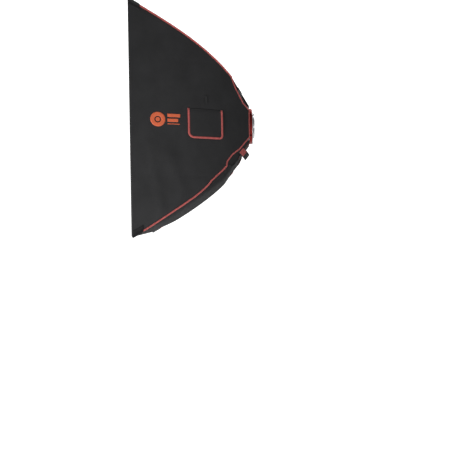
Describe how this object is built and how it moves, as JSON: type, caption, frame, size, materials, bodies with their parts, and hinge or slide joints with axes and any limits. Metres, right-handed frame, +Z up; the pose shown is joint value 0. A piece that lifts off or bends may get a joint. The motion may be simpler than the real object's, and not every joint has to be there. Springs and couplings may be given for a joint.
{
  "type": "studio softbox",
  "caption": "Rectangular fabric softbox on sprung steel rods, with a rotating speed ring, inner baffle, recessed pull-off diffuser, access flap and corner tabs.",
  "frame": {"origin": "centre of the speed ring's rear face, on the light's axis", "axes": "+X out of the back towards the lamp, and the light leaves towards -X; +Y across the short side; +Z up along the long side"},
  "size_m": [0.4934, 0.6092, 0.909],
  "materials": {
    "black_nylon": "woven nylon, black outside and silver inside",
    "red_trim": "matt woven tape",
    "black_webbing": "ribbed webbing and hook-and-loop tape",
    "reinforced_patch": "coated, slightly glossy",
    "diffusion_cloth": "white translucent cloth",
    "spring_steel": "drawn wire, satin",
    "zinc_steel": "bright zinc",
    "red_anodised": "satin anodised",
    "black_plastic": "fine grain"
  },
  "bodies": {
    "mount": {"bayonet_insert": "zinc_steel"},
    "box": {"panel_near": "black_nylon", "panel_far": "black_nylon", "panel_top": "black_nylon", "panel_bottom": "black_nylon", "corner_piping_near_top": "red_trim", "corner_piping_near_bottom": "red_trim", "corner_piping_far_top": "red_trim", "corner_piping_far_bottom": "red_trim", "rear_binding_near": "red_trim", "rear_binding_far": "red_trim", "rear_binding_top": "red_trim", "rear_binding_bottom": "red_trim", "corner_pocket_near_top": "reinforced_patch", "corner_pocket_near_bottom": "reinforced_patch", "corner_pocket_far_top": "reinforced_patch", "corner_pocket_far_bottom": "reinforced_patch", "rim_binding": "black_webbing", "loop_tape": "black_webbing", "inner_baffle": "diffusion_cloth", "baffle_hem": "black_webbing", "baffle_strap_near_top": "black_webbing", "baffle_strap_near_bottom": "black_webbing", "baffle_strap_far_top": "black_webbing", "baffle_strap_far_bottom": "black_webbing", "flap_keeper": "black_webbing", "rod_near_top": "spring_steel", "rod_near_bottom": "spring_steel", "rod_far_top": "spring_steel", "rod_far_bottom": "spring_steel", "rod_tip_near_top": "black_plastic", "rod_tip_near_bottom": "black_plastic", "rod_tip_far_top": "black_plastic", "rod_tip_far_bottom": "black_plastic", "rod_socket_near_top": "zinc_steel", "rod_socket_near_bottom": "zinc_steel", "rod_socket_far_top": "zinc_steel", "rod_socket_far_bottom": "zinc_steel", "speed_ring": "red_anodised", "retaining_ring": "zinc_steel", "retaining_screw_1": "zinc_steel", "retaining_screw_2": "zinc_steel", "retaining_screw_3": "zinc_steel", "retaining_screw_4": "zinc_steel"},
    "lock_carrier": {"lock_washer": "zinc_steel"},
    "lock_thumb_screw": {"lock_screw": "zinc_steel", "lock_knob": "black_plastic"},
    "hand_flap": {"access_flap": "black_nylon", "access_flap_binding": "red_trim", "flap_hook_tape": "black_webbing"},
    "diffuser": {"front_diffuser": "diffusion_cloth", "diffuser_border": "black_webbing"},
    "tab_near_top": {"corner_tab_near_top": "black_webbing"},
    "tab_near_bottom": {"corner_tab_near_bottom": "black_webbing"},
    "tab_far_top": {"corner_tab_far_top": "black_webbing"},
    "tab_far_bottom": {"corner_tab_far_bottom": "black_webbing"}
  },
  "joints": [
    {"name": "box_turn", "type": "hinge", "parent": "mount", "child": "box", "pos_m": [0, 0, 0], "axis": [1, 0, 0], "continuous": true},
    {"name": "lock_screw_travel", "type": "slide", "parent": "box", "child": "lock_carrier", "axis": [0, 1, 0], "range_m": [0, 0.0024]},
    {"name": "lock_screw_turn", "type": "hinge", "parent": "lock_carrier", "child": "lock_thumb_screw", "pos_m": [-0.004, 0.09, 0], "axis": [0, 1, 0], "range_deg": [0, 1080]},
    {"name": "access_flap_lift", "type": "hinge", "parent": "box", "child": "hand_flap", "pos_m": [-0.19192, -0.20111, 0.04], "axis": [-0.909, -0.4169, 0], "range_deg": [0, 140]},
    {"name": "diffuser_pull", "type": "slide", "parent": "box", "child": "diffuser", "axis": [-1, 0, 0], "range_m": [0, 0.12]},
    {"name": "tab_lift_near_top", "type": "hinge", "parent": "box", "child": "tab_near_top", "pos_m": [-0.05908, -0.12332, 0.10379], "axis": [0.5388, 0.4317, -0.7234], "range_deg": [0, 80]},
    {"name": "tab_lift_near_bottom", "type": "hinge", "parent": "box", "child": "tab_near_bottom", "pos_m": [-0.05908, -0.12332, -0.10379], "axis": [-0.5388, -0.4317, -0.7234], "range_deg": [0, 90]},
    {"name": "tab_lift_far_top", "type": "hinge", "parent": "box", "child": "tab_far_top", "pos_m": [-0.05908, 0.12332, 0.10379], "axis": [-0.5388, 0.4317, 0.7234], "range_deg": [0, 80]},
    {"name": "tab_lift_far_bottom", "type": "hinge", "parent": "box", "child": "tab_far_bottom", "pos_m": [-0.05908, 0.12332, -0.10379], "axis": [0.5388, -0.4317, 0.7234], "range_deg": [0, 80]}
  ],
  "couplings": [
    {"joint": "lock_screw_turn", "follows": "lock_screw_travel", "rad_per_m": 7854}
  ]
}
